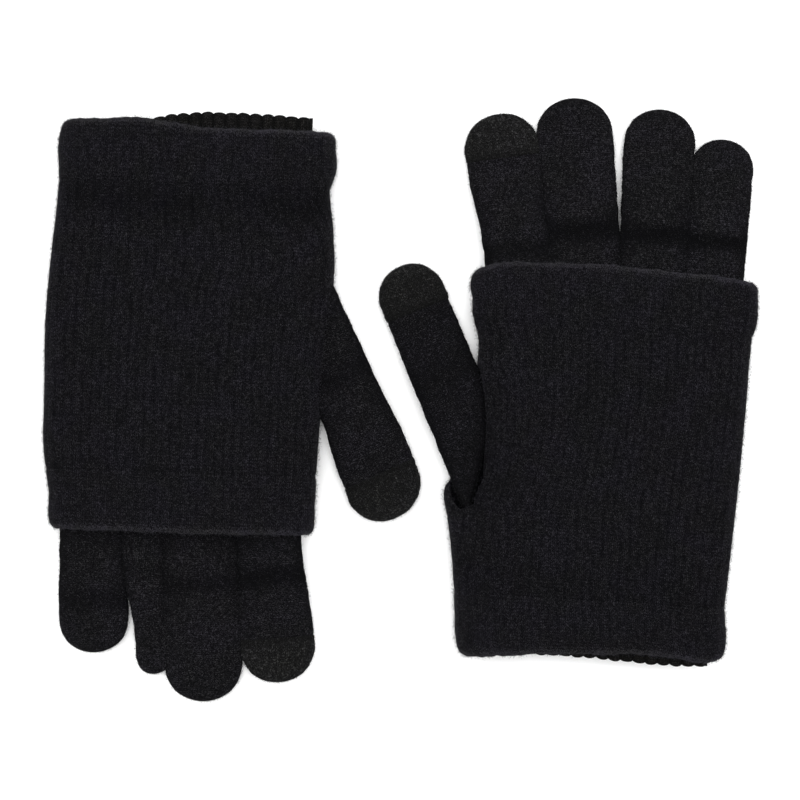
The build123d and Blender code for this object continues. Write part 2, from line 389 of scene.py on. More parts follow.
fibreLooks = {
    "sleeveFibre": {"dark": (0.004, 0.004, 0.005), "light": (0.050, 0.049, 0.058), "rough": 0.7, "gloss": 0.1,
                    "tangle": 700.0},
    "linerFibre": {"dark": (0.004, 0.004, 0.005), "light": (0.046, 0.046, 0.050), "rough": 0.7, "gloss": 0.1,
                   "tangle": 700.0},
}
knits = {name: knitMaterial(name + "Knit", look) for name, look in knitLooks.items()}
fibres = {name: fibreMaterial(name, look) for name, look in fibreLooks.items()}
print("materials ready")


# the flattened tube that sleeve, hems, hand and cuff are shaped on
def tubePerimeter(left, right, half):
    return 2 * (right - left - 2 * half) + 2 * math.pi * half


def tubeSection(p, left, right, half):
    # p runs from the thumb-side fold over the upper face, round the other fold and back underneath
    quarter = math.pi / 2 * half
    flat = right - left - 2 * half
    total = tubePerimeter(left, right, half)
    p = np.mod(p, total)
    a = p / half
    b = (p - quarter - flat) / half
    c = (p - 3 * quarter - 2 * flat) / half
    parts = [p < quarter, p < quarter + flat, p < 3 * quarter + flat, p < 3 * quarter + 2 * flat]
    x = np.select(parts, [
        left + half - half * np.cos(a), left + half + p - quarter, right - half + half * np.sin(b),
        right - half - (p - 3 * quarter - flat)], left + half - half * np.sin(c))
    z = np.select(parts, [half * np.sin(a), half, half * np.cos(b), -half], -half * np.cos(c))
    nx = np.select(parts, [-np.cos(a), 0, np.sin(b), 0], -np.sin(c))
    nz = np.select(parts, [np.sin(a), 1, np.cos(b), -1], -np.cos(c))
    return x, z, nx, nz


sleeveShape = {  # each line is a list of points in hand millimetres; the rims give the thumb opening
    "right": {
        "length": 152.0, "darkBand": 1.0,
        "thumbSide": [
            (0, -52.3), (6, -52.2), (12.9, -52.9), (22.4, -51), (36, -52.4), (52.4, -53.5),
            (60, -53.2), (72, -52.6), (105, -50), (120, -49.4), (131, -49), (142, -48.6), (152, -48.8),
        ],
        "farSide": [
            (0, 49.7), (8, 50.9), (18.1, 50.5), (24, 50.7), (48.1, 52.5), (67, 53.8), (104.5, 53.6),
            (123.3, 53.2), (131, 52), (138.2, 50.5), (147, 50.5), (152, 50),
        ],
        "wristEdge": [
            (-51, 1.3), (-34, 1.2), (-11, 1.2), (2, 0.5), (14, -1.2), (21, -1.8), (35, -1.3),
            (51, -0.5),
        ],
        "fingerEdge": [(-49, -0.1), (-20, 0.5), (10, 0.6), (35, 0.4), (50, 0.2)],
        "upperRim": [
            (52.6, -5.0), (54.5, -3.4), (57.5, -1.6), (61.9, 0.1), (70, 0.6), (82, 0.9), (96, 0.6),
            (106, 0),
        ],
        "lowerRim": [
            (52.6, 5.0), (53.6, 8.8), (57, 11.2), (63.7, 12.6), (78.8, 10.3), (90, 6.0), (100, 2.3),
            (106, 0),
        ],
    },
    "left": {
        "length": 147.0, "darkBand": 0.3,
        "thumbSide": [
            (0, -48.3), (8, -50), (14.3, -50.7), (22, -51.9), (32.9, -53.4), (48, -56.2), (58, -58.4),
            (66, -56.8), (85, -52.5), (104.7, -49.6), (118, -49.9), (125, -52.2), (134, -52.6),
            (141, -53.9), (147, -53.1),
        ],
        "farSide": [
            (0, 50.4), (7, 50.7), (19.8, 49.6), (36.8, 50.2), (70.7, 51.5), (100.9, 52.1), (118, 52.2),
            (123.4, 52.4), (131, 53.6), (140, 53.4), (147, 53.4),
        ],
        "wristEdge": [
            (-50, -2.5), (-41, -1.9), (-18, 0.8), (2, 2.0), (19, 3.4), (31, 2.8), (42, 1.7), (50, 3.2),
        ],
        "fingerEdge": [
            (-53, -4.6), (-44, -1.8), (-26, -0.6), (-6, 0.2), (20, -0.4), (40, -1.2), (53, -2.6),
        ],
        "upperRim": [
            (52.6, 5.0), (53.6, 8.8), (57, 11.2), (63.7, 12.6), (78.8, 10.3), (90, 6.0), (100, 2.3),
            (106, 0),
        ],
        "lowerRim": [
            (52.6, -5.0), (54.5, -3.4), (57.5, -1.6), (61.9, 0.2), (70, 1.5), (82, 3.5), (96, 2.0),
            (106, 0),
        ],
    },
}
sleeveKnit = {
    "ribs": 66, "samplesPerRib": 6, "rows": 92, "ribPitch": 3.15, "ribHeight": 0.36, "groove": 0.5, "wall": 2.0,
    "hemLength": 22.0, "hemOver": 1.4, "slack": 27.0, "rimRound": 0.9, "cornerInset": 1.3, "seamRun": 24.0,
    "ribCrown": 0.3, "edgeRun": 30, "cornerRun": 3, "lowered": 0.45, "openFrom": 1.5, "sagDrop": 0.25,
    "floorGap": 0.12,
    # each pair is an amount and its size, or the distance that it fades over
    "hills": ((0.3, 46), (0.1, 15)), "wander": ((0.06, 7), (0.06, 2.6)), "floorWave": (0.1, 5),
    "tuck": (0.4, 2.2), "endShade": (0.3, 3.5),
    "darkBandAt": (29, 6),  # where a darker band lies, and its reach
}
grooveBreak = {"least": 0.55, "swing": 0.75, "around": 60, "along": 2.4, "size": 1.5, "most": 1.2}


def ribGroove(u):  # 1 in the narrow groove between two ribs, 0 on a rib
    away = np.abs(np.mod(u * sleeveKnit["ribs"], 1.0) - 0.5) * sleeveKnit["ribPitch"]
    return np.exp(-(away / sleeveKnit["groove"]) ** 2)


def brokenGroove(u, y):  # the grooves fade in and out under the brushed surface
    g = grooveBreak
    broken = g["least"] + g["swing"] * waves(u * g["around"], y / g["along"], g["size"], 17)
    return ribGroove(u) * np.clip(broken, 0, g["most"])


def ribProfile(u, y, fade):
    return sleeveKnit["ribHeight"] * fade * (sleeveKnit["ribCrown"] - brokenGroove(u, y))


def sleeveSides(shape, y):
    return smoothLine(shape["thumbSide"])(y), smoothLine(shape["farSide"])(y)


def edgeShift(shape, x, y):  # how the two open edges stray from straight
    run = sleeveKnit["edgeRun"]
    near = smoothLine(shape["wristEdge"])(x) * (1 - ease(y / run))
    far = smoothLine(shape["fingerEdge"])(x) * ease((y - shape["length"] + run) / run)
    return near + far


def softSag(side, x, y):  # the slow hills of a thick knit laid over a liner
    seed = 11 if side == "right" else 23
    return sum(rise * waves(x, y, size, seed + i) for i, (rise, size) in enumerate(sleeveKnit["hills"]))


def rimReach(points, y, half):  # how far round from the fold one side of the thumb opening lies
    first, last = points[0], points[-1]
    run = sleeveKnit["seamRun"]
    seam = first[1] * ease((y - first[0] + run) / run)
    offset = np.where(y < first[0], seam, np.where(y > last[0], 0, smoothLine(points)(y)))
    size = np.abs(offset)
    overFold = half * np.arccos(np.clip(1 - size / half, -1, 1))
    return np.sign(offset) * np.where(size < half, overFold, math.pi / 2 * half + size - half)


def placeSleeve(side, u, y, lift, ribFade):
    shape = sleeveShape[side]
    k = sleeveKnit
    left, right = sleeveSides(shape, y)
    fromEdge = np.minimum(y, shape["length"] - y)
    corner = k["cornerInset"] * np.clip(1 - fromEdge / k["cornerRun"], 0, 1) ** 2
    left, right = left + corner, right - corner
    half = middleHeight - k["lowered"]
    total = tubePerimeter(left, right, half)
    upper, lower = rimReach(shape["upperRim"], y, half), rimReach(shape["lowerRim"], y, half)
    fromUpper, fromLower = u * total, (1 - u) * total
    p = fromUpper + upper * np.exp(-fromUpper / k["slack"]) - lower * np.exp(-fromLower / k["slack"])
    x, z, nx, nz = tubeSection(p, left, right, half)
    opened = ease((upper + lower) / k["openFrom"])
    rim = (np.exp(-(fromUpper / k["rimRound"]) ** 2) + np.exp(-(fromLower / k["rimRound"]) ** 2)) * opened
    wander = sum(waves(x, y, size, 5 + i) * depth for i, (depth, size) in enumerate(k["wander"]))
    rise = lift + ribProfile(u, y, ribFade) + wander - k["rimRound"] * rim
    facing = ease((z / half + 0.4) / 0.8)  # 1 on the upper face, 0 underneath
    height = middleHeight + z + nz * rise + facing * (softSag(side, x, y) - k["sagDrop"])
    depth, size = k["floorWave"]
    height = np.maximum(height, k["floorGap"] + depth * (1 + waves(x, y, size, 8)))
    # the last value, 1 - |nz|, grows where the tube turns down at its folded sides and paints a highlight there
    return x + nx * rise, y + edgeShift(shape, x, y), height, u * total, 1 - np.abs(nz)


def makeSleeve(side):
    shape = sleeveShape[side]
    k = sleeveKnit
    mesh, u, v = gridMesh(side + "_sleeve_body", k["ribs"] * k["samplesPerRib"], k["rows"])
    start = k["hemLength"] - k["hemOver"]
    end = shape["length"] - k["hemLength"] + k["hemOver"]
    y = start + v * (end - start)
    toEnd = np.minimum(y - start, end - y)
    depth, run = k["tuck"]
    lift = -depth * np.exp(-(toEnd / run) ** 2)
    x, yy, z, around, edge = placeSleeve(side, u, y, lift, 1.0)
    layKnit(mesh, around * mm, y * mm)
    middle, run = k["darkBandAt"]  # a darker band beside the wrist hem, in colour only
    darkBand = shape["darkBand"] * np.exp(-((y - middle) / run) ** 2) * (0.7 + 0.5 * waves(x, y, 30, 19))
    dark, run = k["endShade"]
    # painted shade in the rib grooves and where the body runs under the hems, the darker band, and a painted
    # highlight along the folded sides
    shade(mesh, "dip", brokenGroove(u, y) + dark * np.exp(-(toEnd / run) ** 2) + darkBand - edge)
    obj = finishMesh(mesh, side, x, yy, z, knits["sleeve"])
    giveWall(obj, k["wall"])
    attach(obj, side + "_sleeve")
    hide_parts(side + "_sleeve")
    return obj


hemShape = {  # outer, round and inner are rows; a pair is an amount and the distance that it fades over
    "fold": 1.15, "bulge": 0.35, "tuck": 1.2, "outer": 30, "round": 11, "inner": 11, "bulgePower": 0.6,
    "tucked": (0.8, 1.5), "liningRise": 0.3, "ribs": (0.75, 9), "around": 200,
    "wobble": ((0.3, 13), (0.22, 3.6)), "wobbleRun": 3, "lit": (2.2, 1.8), "liningShade": 0.8,
}


def makeHem(side, end):
    shape = sleeveShape[side]
    h = hemShape
    rows = h["outer"] + h["round"] + h["inner"]
    columns = sleeveKnit["ribs"] * sleeveKnit["samplesPerRib"]
    mesh, u, v = gridMesh(f"{side}_sleeve_{end}_band", columns, rows)
    length, fold = sleeveKnit["hemLength"], h["fold"]
    step = np.rint(v * rows).astype(int)
    step = np.where(step == rows, 0, step)  # the last row closes on the first
    k = np.clip(step / (h["outer"] - 1), 0, 1)
    outerReach = length + h["tuck"] - (length + h["tuck"] - fold) * k
    outerLift = h["bulge"] * np.sin(math.pi * np.clip(1 - outerReach / length, 0, 1)) ** h["bulgePower"]
    depth, run = h["tucked"]
    outerLift -= depth * np.exp(-((outerReach - length - h["tuck"]) / run) ** 2)
    turn = np.clip((step - h["outer"] + 1) / h["round"], 0, 1) * math.pi
    back = np.clip((step - h["outer"] - h["round"] + 1) / h["inner"], 0, 1)
    reach = np.where(turn > 0, fold - fold * np.sin(turn), outerReach)
    lift = np.where(turn > 0, fold * np.cos(turn) - fold, outerLift)
    reach = np.where(back > 0, fold + (length - fold) * back, reach)
    lift = np.where(back > 0, -2 * fold + h["liningRise"] * back, lift)
    strength, run = h["ribs"]
    ribFade = strength * ease(reach / run) * (turn == 0)
    y = reach if end == "wrist" else shape["length"] - reach
    wobble = sum(stray * waves(u * h["around"], 0 * y, size, 31 + i)
                 for i, (stray, size) in enumerate(h["wobble"]))
    y = y + wobble * np.exp(-(reach / h["wobbleRun"]) ** 2)
    x, yy, z, around, edge = placeSleeve(side, u, y, lift, ribFade)
    layKnit(mesh, around * mm, np.where(turn > 0, -reach, reach) * mm)
    bright, run = h["lit"]
    lit = bright * np.exp(-(reach / run) ** 2) * (back == 0)  # painted highlight along the brushed fold
    lining = h["liningShade"] * (back > 0)
    # painted shade in the rib grooves and over the inner lining, and painted highlight along the fold and the
    # folded sides
    shade(mesh, "dip", brokenGroove(u, y) * ribFade + lining - lit - edge * (back == 0))
    obj = finishMesh(mesh, side, x, yy, z, knits["sleeve"], flip=(end == "wrist"))
    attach(obj, side + "_sleeve")
    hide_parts(f"{side}_sleeve_{end}_hem")
    return obj


cuffShape = {
    "right": {"thumbEdge": -43.5, "farEdge": 43.5,
              "edge": [(-44, -3.6), (-35, -3.9), (-24, -4.1), (-1, -3.9), (8, -3.1), (25, 0.2), (44, 1.8)]},
    "left": {"thumbEdge": -44.0, "farEdge": 44.5,
             "edge": [(-44, 0.6), (-18, 1.0), (0, 1.2), (12, 0.6), (26, 0.5), (44, 1.2)]},
}
cuffKnit = {  # a pair is an amount and its size, or the distance that it fades over
    "scallops": 40, "samples": 8, "rows": 30, "half": 3.1, "reach": 47.0, "wall": 1.1, "around": 180,
    "lowerEdge": 0.9, "stray": (0.3, 21), "scallop": 0.7, "scallopStray": (0.25, 5), "scallopRun": 4,
    "rib": 0.5, "ribSink": 0.25, "roughness": (0.1, 4), "flare": (0.3, 5),
}
nearlyOne = 1 - 1e-9  # keeps the last column from wrapping round to the first


def makeCuff(side):
    shape = cuffShape[side]
    c = cuffKnit
    mesh, u, v = gridMesh(side + "_cuff", c["scallops"] * c["samples"], c["rows"])
    total = tubePerimeter(shape["thumbEdge"], shape["farEdge"], c["half"])
    y0 = v * c["reach"]
    x, z, nx, nz = tubeSection(u * total * nearlyOne, shape["thumbEdge"], shape["farEdge"], c["half"])
    rib = np.abs(np.cos(math.pi * u * c["scallops"]))
    stray, size = c["stray"]
    edge = smoothLine(shape["edge"])(x) + np.where(z < 0, c["lowerEdge"], 0.0)
    edge = edge + stray * waves(u * c["around"], 0 * u, size, 41)
    stray, size = c["scallopStray"]
    scallop = stray * waves(u * c["around"], 0 * u, size, 42) - c["scallop"] * rib ** 0.6
    y = edge + scallop * np.exp(-y0 / c["scallopRun"]) + y0 * (c["reach"] - edge) / c["reach"]
    stray, size = c["roughness"]
    rise = c["rib"] * rib ** 0.8 - c["ribSink"] + stray * waves(x, y, size, 43)
    flare, run = c["flare"]
    flare = flare * np.exp(-y0 / run)
    layKnit(mesh, u * total * mm, y * mm)
    # painted shade in the hollows between the cuff's scallop ribs
    shade(mesh, "dip", np.clip((1 - rib) ** 2, 0, 1))
    obj = finishMesh(mesh, side, x + nx * rise, y, middleHeight + z + nz * (rise + flare), knits["cuff"])
    giveWall(obj, c["wall"])
    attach(obj, side + "_hand")
    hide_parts(side + "_liner_cuff")
    return obj


handShape = {
    "right": {"thumbSide": [(40, -43.4), (90, -44.0), (160, -44.8)],
              "farSide": [(40, 43.4), (90, 44.4), (160, 45.6)]},
    "left": {"thumbSide": [(40, -43.6), (90, -45.5), (158, -50.2)],
             "farSide": [(40, 43.8), (90, 45.4), (158, 48.2)]},
}
handKnit = {"columns": 140, "rows": 44, "half": 3.6, "wall": 1.1, "from": 44.0, "hidden": 4.0,
            "thinner": (1.5, 16), "hills": (0.16, 18), "sink": 0.15}


def makeHand(side):
    shape = handShape[side]
    k = handKnit
    mesh, u, v = gridMesh(side + "_palm_and_back", k["columns"], k["rows"])
    end = sleeveShape[side]["length"] - k["hidden"]
    y = k["from"] + v * (end - k["from"])
    left, right = smoothLine(shape["thumbSide"])(y), smoothLine(shape["farSide"])(y)
    thinner, run = k["thinner"]
    half = k["half"] - thinner * ease((y - end + run) / run)  # thins to the fingers' height at the knuckles
    total = tubePerimeter(left, right, half)
    x, z, nx, nz = tubeSection(u * total * nearlyOne, left, right, half)
    depth, size = k["hills"]
    rise = depth * waves(x, y, size, 51) - k["sink"]
    layKnit(mesh, u * total * mm, y * mm)
    shade(mesh, "dip", 0 * u)
    obj = finishMesh(mesh, side, x + nx * rise, y, middleHeight + z + nz * rise, knits["liner"])
    giveWall(obj, k["wall"])
    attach(obj, side + "_hand")
    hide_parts(side + "_liner_hand")
    return obj


fingerShape = {
    "right": {  # root and tip are widths, lean is in degrees, and crease is where the fold across lies
        "index": {"shift": 0.1, "root": 24.6, "tip": 27.8, "length": 47.3, "lean": 6.2, "dent": 0.8,
                  "crease": 7.0, "spread": 3.2},
        "middle": {"shift": 0.0, "root": 29.0, "tip": 29.4, "length": 55.3, "lean": 3.0, "dent": 0.4,
                   "crease": 11.0, "spread": 3.0},
        "ring": {"shift": 0.3, "root": 16.6, "tip": 12.6, "length": 45.7, "lean": 3.4, "dent": 0.2,
                 "crease": 6.0, "spread": 3.0, "swing": -2.3},
        "little": {"shift": 0.2, "root": 24.4, "tip": 26.2, "length": 38.1, "lean": 1.7, "dent": 0.4,
                   "crease": 18.0, "spread": 4.0},
    },
    "left": {
        "index": {"shift": -1.4, "root": 25.2, "tip": 28.2, "length": 43.8, "lean": 12.1, "dent": 0.4,
                  "crease": -8.2, "spread": 3.0},
        "middle": {"shift": -1.4, "root": 28.2, "tip": 29.0, "length": 51.3, "lean": 8.0, "dent": 1.3,
                   "crease": 0.4, "spread": 3.5},
        "ring": {"shift": -0.1, "root": 26.0, "tip": 26.9, "length": 48.8, "lean": 0.4, "dent": 1.3,
                 "crease": 0.6, "spread": 3.2},
        "little": {"shift": -0.9, "root": 23.4, "tip": 23.8, "length": 39.2, "lean": -1.4, "dent": 1.1,
                   "crease": -0.4, "spread": 2.7},
    },
}
thumbShape = {
    "right": {"shift": 0.5, "root": 25.2, "tip": 28.4, "length": 47.4, "swing": 2.1, "dent": 0.4,
              "crease": -9.0, "spread": 4.0, "shade": 0.03},
    "left": {"shift": 0.2, "root": 25.2, "tip": 24.8, "length": 47.4, "swing": 0.1, "dent": 0.2,
             "crease": 4.0, "spread": 6.0, "shade": 0.14},
}
digitKnit = {"columns": 112, "rows": 92, "half": 2.55, "thumbHalf": 2.75, "inside": 22.0, "thumbInside": 48.0,
             "squareness": 2.7, "floorGap": 0.12, "plump": 0.06, "tipShare": 0.34, "sink": 0.7, "sinkLap": 0.4,
             "stepRun": 1.2, "creaseStray": (0.6, 14), "settle": ((0.22, 11), (0.12, 4.5)),
             "edge": ((0.2, 7), (0.1, 2.4)), "taperFrom": 13, "taperRun": 33, "rimShade": 0.5, "lowerRun": 0.8}
tipKnit = {"columns": 168, "rows": 56, "length": 17.5, "thumbLength": 18.5, "proud": 0.2, "nub": 0.16,
           "under": 0.5, "nubSizes": (2.3, 1.5), "fineNub": 0.7, "smoothShare": 0.1, "seamRun": 5,
           "seamShade": 0.7, "hollowShade": 0.6}
angleSteps = 4001


def evenAngles(u, width, height, squareness):  # angles that space the columns evenly round a flattened tube
    angle = np.linspace(0, 2 * math.pi, angleSteps)
    x, z = crossSection(angle, width, height, squareness)
    run = np.concatenate([[0], np.cumsum(np.hypot(np.diff(x), np.diff(z)))])
    return np.interp(u * run[-1], run, angle), run[-1]


def crossSection(angle, width, height, squareness):
    c, s = np.cos(angle), np.sin(angle)
    power = 2 / squareness
    return width * np.sign(c) * np.abs(c) ** power, height * np.sign(s) * np.abs(s) ** power


def digitProfile(t, spec, half):  # half width and half height at t from the fold
    radius = spec["tip"] / 2
    start = spec["length"] - radius
    width = spec["root"] / 2 + (spec["tip"] - spec["root"]) / 2 * ease(1.4 * t / start)
    past = np.clip((t - start) / radius, 0, 1)
    plump = 1 + digitKnit["plump"] * np.sin(math.pi * np.clip(t / spec["length"], 0, 1))
    width = width * np.sqrt(1 - past ** 2.15)
    return width, half * plump * np.sqrt(1 - past ** 3.2) ** 0.8


def digitRows(v, spec, start):  # even rows that close up towards the round tip
    radius, tipShare = spec["tip"] / 2, digitKnit["tipShare"]
    straight = start + (spec["length"] - radius - start) * np.clip(v / (1 - tipShare), 0, 1)
    return straight + radius * np.sin(np.clip((v - 1 + tipShare) / tipShare, 0, 1) * math.pi / 2)


def digitSurface(d, angle, t, swell, nubs):
    k = digitKnit
    spec, half, seed, root, lean = d["spec"], d["half"], d["seed"], d["root"], d["lean"]
    width, height = digitProfile(t, spec, half)
    # a thumb narrows on its palm side as it goes in
    taper = d["innerTaper"] * np.clip((-t - k["taperFrom"]) / k["taperRun"], 0, 1) ** 1.1
    width, shift = width * (1 - taper), -width * taper
    inner = np.minimum(width, height) > 1e-6
    width, height = np.where(inner, width + swell, 0), np.where(inner, height + swell, 0)
    across, z = crossSection(angle, width, height, k["squareness"])
    share = np.clip(np.abs(across) / np.maximum(width, 0.1), 0, 1)
    slope = np.hypot(across / np.maximum(width, 1) ** 2, z / np.maximum(height, 1) ** 2) + 1e-9
    past = np.clip((t - spec["length"] + spec["tip"] / 2) / (spec["tip"] / 2), 0, 1)
    nubs = nubs * np.where(inner, 1, 0)
    stray, size = k["creaseStray"]
    crease = np.exp(-((t - spec["crease"] - stray * waves(across, 0 * t, size, seed)) / spec["spread"]) ** 2)
    settle = sum(rise * waves(across, t, size, seed + 1 + i) for i, (rise, size) in enumerate(k["settle"]))
    upper = np.clip(z / half, 0, 1)
    rim = share ** 6
    z = z + upper * (settle * (1 - rim) * (1 - past ** 2) - spec["dent"] * crease)
    z = z + nubs * z / np.maximum(height, 1) ** 2 / slope
    edge = sum(rise * waves(np.sign(across) * 40, t, size, seed + 3 + i)
               for i, (rise, size) in enumerate(k["edge"]))
    across = across + edge * share ** 3 + nubs * across / np.maximum(width, 1) ** 2 / slope
    t = t + nubs * past ** 2
    low = half + k["floorGap"]
    centre = middleHeight + (low - middleHeight) * ease((t + 3) / (spec["length"] * k["lowerRun"])) ** 0.9
    height = np.maximum(centre + z, 0.05)
    across = across + shift + d["swing"] * ease(t / spec["length"])
    a = math.radians(lean)
    x = root[0] - t * math.sin(a) + across * math.cos(a)
    y = root[1] + t * math.cos(a) + across * math.sin(a)
    # painted shade in the crease across the digit, varied at random along it, and painted shade at its sides,
    # at its root and over the whole thumb
    creaseShadeStray = 0.8 + 0.4 * waves(across, t, 2.4, seed + 7)
    creaseShade = crease * min(spec["dent"], 1) * creaseShadeStray
    shadow = k["rimShade"] * rim * ease((32 - t) / 30) + d["allShade"]
    shadow = shadow + d["rootShade"] * (1 - ease((t + 5) / 6))
    return x, y, height, creaseShade + shadow, past


def makeDigit(side, name, d):
    k = digitKnit
    spec = d["spec"]
    mesh, u, v = gridMesh(f"{side}_{name}_knit", k["columns"], k["rows"])
    angle, perimeter = evenAngles(u, spec["tip"] / 2, d["half"], k["squareness"])
    t = digitRows(v, spec, -d["inside"])
    swell = 0 * t
    if d["tipLength"]:  # sinks under its touch tip
        swell = -k["sink"] * ease((t - spec["length"] + d["tipLength"] - k["sinkLap"]) / k["stepRun"])
    x, y, z, dip, _ = digitSurface(d, angle, t, swell, 0 * t)
    capped = v < 0.5 / k["rows"]
    a = math.radians(d["lean"])
    x = np.where(capped, d["root"][0] + d["inside"] * math.sin(a), x)
    y = np.where(capped, d["root"][1] - d["inside"] * math.cos(a), y)
    layKnit(mesh, u * perimeter * mm, t * mm)
    shade(mesh, "dip", np.clip(dip, 0, 1))
    return finishMesh(mesh, side, x, y, np.where(capped, middleHeight, z), knits["liner"], flip=True)


def makeTip(side, name, d):
    k = tipKnit
    spec = d["spec"]
    mesh, u, v = gridMesh(f"{side}_{name}_tip_knit", k["columns"], k["rows"])
    angle, perimeter = evenAngles(u, spec["tip"] / 2, d["half"], digitKnit["squareness"])
    start = spec["length"] - d["tipLength"]
    t = digitRows(v, spec, start)
    around = u * perimeter
    rise = ease((t - start) / digitKnit["stepRun"])
    large, small = (waves(around, t, size, d["seed"] + 5 + i) for i, size in enumerate(k["nubSizes"]))
    nubs = k["nub"] * rise * (large + k["fineNub"] * small)
    smooth = k["smoothShare"]
    nubs = nubs * (1 - ease((v - 1 + smooth) / smooth))  # smooth where the columns meet at the very tip
    nubs[np.isclose(u, 1)] = nubs[np.isclose(u, 0)]
    x, y, z, _, past = digitSurface(d, angle, t, (k["proud"] + k["under"]) * rise - k["under"], nubs)
    capped = v < 0.5 / k["rows"]
    a = math.radians(d["lean"])
    bend = d["swing"] * ease(start / spec["length"])
    x = np.where(capped, d["root"][0] - start * math.sin(a) + bend * math.cos(a), x)
    y = np.where(capped, d["root"][1] + start * math.cos(a) + bend * math.sin(a), y)
    z = np.where(capped, d["half"] + digitKnit["floorGap"], z)
    layKnit(mesh, around * mm, t * mm)
    seam = k["seamShade"] * (1 - ease((t - start) / k["seamRun"]))
    hollows = np.clip(-nubs / k["nub"] * k["hollowShade"], 0, 1)
    # painted shade in the hollows between nubs and beside the seam, and over the tip, turning into a painted
    # highlight at its very end
    shade(mesh, "dip", hollows + seam + d["tipShading"] * (1 - 2 * past ** 3))
    return finishMesh(mesh, side, x, y, z, knits["tip"], flip=True)


fuzzLook = {
    "sleeve": {"perSquareCm": 70, "length": (0.6, 2.2), "thick": 0.032, "lift": 0.5, "fringe": 5.0, "seed": 71},
    "hem": {"perSquareCm": 80, "length": (0.5, 2.0), "thick": 0.032, "lift": 0.6, "fringe": 6.0, "seed": 72},
    "digit": {"perSquareCm": 80, "length": (0.35, 1.3), "thick": 0.028, "lift": 0.5, "fringe": 6.0, "seed": 73},
    "tip": {"perSquareCm": 120, "length": (0.3, 1.1), "thick": 0.034, "lift": 0.6, "fringe": 6.0, "seed": 74},
    "cuff": {"perSquareCm": 60, "length": (0.3, 1.1), "thick": 0.026, "lift": 0.5, "fringe": 2.0, "seed": 75},
}


fibreForm = {"curl": 0.35, "arch": 0.12, "sunk": 0.05, "floorGap": 0.02, "steepLift": 0.9, "downFacing": -0.75}


def fibreCopies(name, count):  # that many three-sided spindles of unit length along z
    bm = bmesh.new()
    bmesh.ops.create_cone(bm, segments=3, radius1=1, radius2=1, depth=0.4, cap_ends=True)
    for cap in [f for f in bm.faces if len(f.verts) == 3]:
        end = math.copysign(0.5, cap.normal.z)
        bmesh.ops.poke(bm, faces=[cap])["verts"][0].co = (0, 0, end)
    bmesh.ops.translate(bm, verts=bm.verts, vec=(0, 0, 0.5))
    mesh = bpy.data.meshes.new("spindle")
    bm.to_mesh(mesh)
    bm.free()
    points = np.array([v.co for v in mesh.vertices])
    obj = bpy.data.objects.new(name, mesh)
    bpy.context.scene.collection.objects.link(obj)
    repeat = obj.modifiers.new("repeat", "ARRAY")
    repeat.count = count
    repeat.use_relative_offset = False
    copies = bpy.data.meshes.new_from_object(obj.evaluated_get(bpy.context.evaluated_depsgraph_get()))
    obj.modifiers.clear()
    obj.data = copies
    copies.name = name
    return obj, points


def makeFuzz(name, piece, look, material, keep=None):
    draw = np.random.default_rng(look["seed"] + sum(map(ord, name)))
    mesh = piece.data
    mesh.calc_loop_triangles()
    count = len(mesh.loop_triangles)
    corners = np.empty(count * 3, np.int32)
    mesh.loop_triangles.foreach_get("vertices", corners)
    spots = np.empty(len(mesh.vertices) * 3)
    mesh.vertices.foreach_get("co", spots)
    a, b, c = spots.reshape(-1, 3)[corners.reshape(-1, 3)].transpose(1, 0, 2)
    normal = np.cross(b - a, c - a)
    area = np.linalg.norm(normal, axis=1) / 2
    normal = normal / np.maximum(area * 2, 1e-12)[:, None]
    centre = (a + b + c) / 3
    steep = 1 - np.abs(normal[:, 2])
    weight = area * (normal[:, 2] > fibreForm["downFacing"]) * (1 + look["fringe"] * steep ** 2)
    if keep is not None:
        weight = weight * keep(centre)
    total = int(weight.sum() * 1e4 * look["perSquareCm"])
    pick = draw.choice(count, total, p=weight / weight.sum())
    r1, r2 = np.sqrt(draw.random(total)), draw.random(total)
    base = (1 - r1)[:, None] * a[pick] + (r1 * (1 - r2))[:, None] * b[pick] + (r1 * r2)[:, None] * c[pick]
    n = normal[pick]
    tangent = np.cross(n, draw.normal(size=(total, 3)))
    tangent /= np.linalg.norm(tangent, axis=1)[:, None]
    stand = look["lift"] + fibreForm["steepLift"] * steep[pick]
    way = tangent + n * (stand * draw.random(total) ** 1.3)[:, None]
    way /= np.linalg.norm(way, axis=1)[:, None]
    side = np.cross(way, n)
    side /= np.linalg.norm(side, axis=1)[:, None]
    other = np.cross(way, side)
    low, high = look["length"]
    length = (low + (high - low) * draw.random(total) ** 2.2) * mm
    curl = draw.uniform(-fibreForm["curl"], fibreForm["curl"], total) * length
    thick = look["thick"] * mm * draw.uniform(0.7, 1.3, total)
    obj, k = fibreCopies(name, total)
    arc = k[:, 2] * (1 - k[:, 2]) * 4
    place = (base - n * fibreForm["sunk"] * mm)[:, None] + way[:, None] * np.outer(length, k[:, 2])[..., None]
    place += side[:, None] * (np.outer(thick, k[:, 0]) + np.outer(curl, arc))[..., None]
    place += other[:, None] * np.outer(thick, k[:, 1])[..., None]
    place += n[:, None] * np.outer(fibreForm["arch"] * length, arc)[..., None]
    place[..., 2] = np.maximum(place[..., 2], fibreForm["floorGap"] * mm)
    obj.data.vertices.foreach_set("co", place.astype(np.float32).ravel())
    obj.data.shade_smooth()
    obj.data.materials.clear()
    obj.data.materials.append(material)
    return obj


def bendDigit(obj):  # bakes the piece's placement into its mesh
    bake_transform(obj)


def pastLine(side, way, limit):  # keeps fibres where a direction's reach in hand millimetres is past a limit
    h = hands[side]
    axis, origin = np.array(h[way]), np.array(h["origin"])
    sign = -1 if way == "across" else 1
    return lambda point: (point - origin) @ axis * sign / mm > limit


def addFuzz(piece, look, material, keep=None):
    fuzz = makeFuzz(piece.name + "_fuzz", piece, fuzzLook[look], fibres[material], keep)
    return fuzz


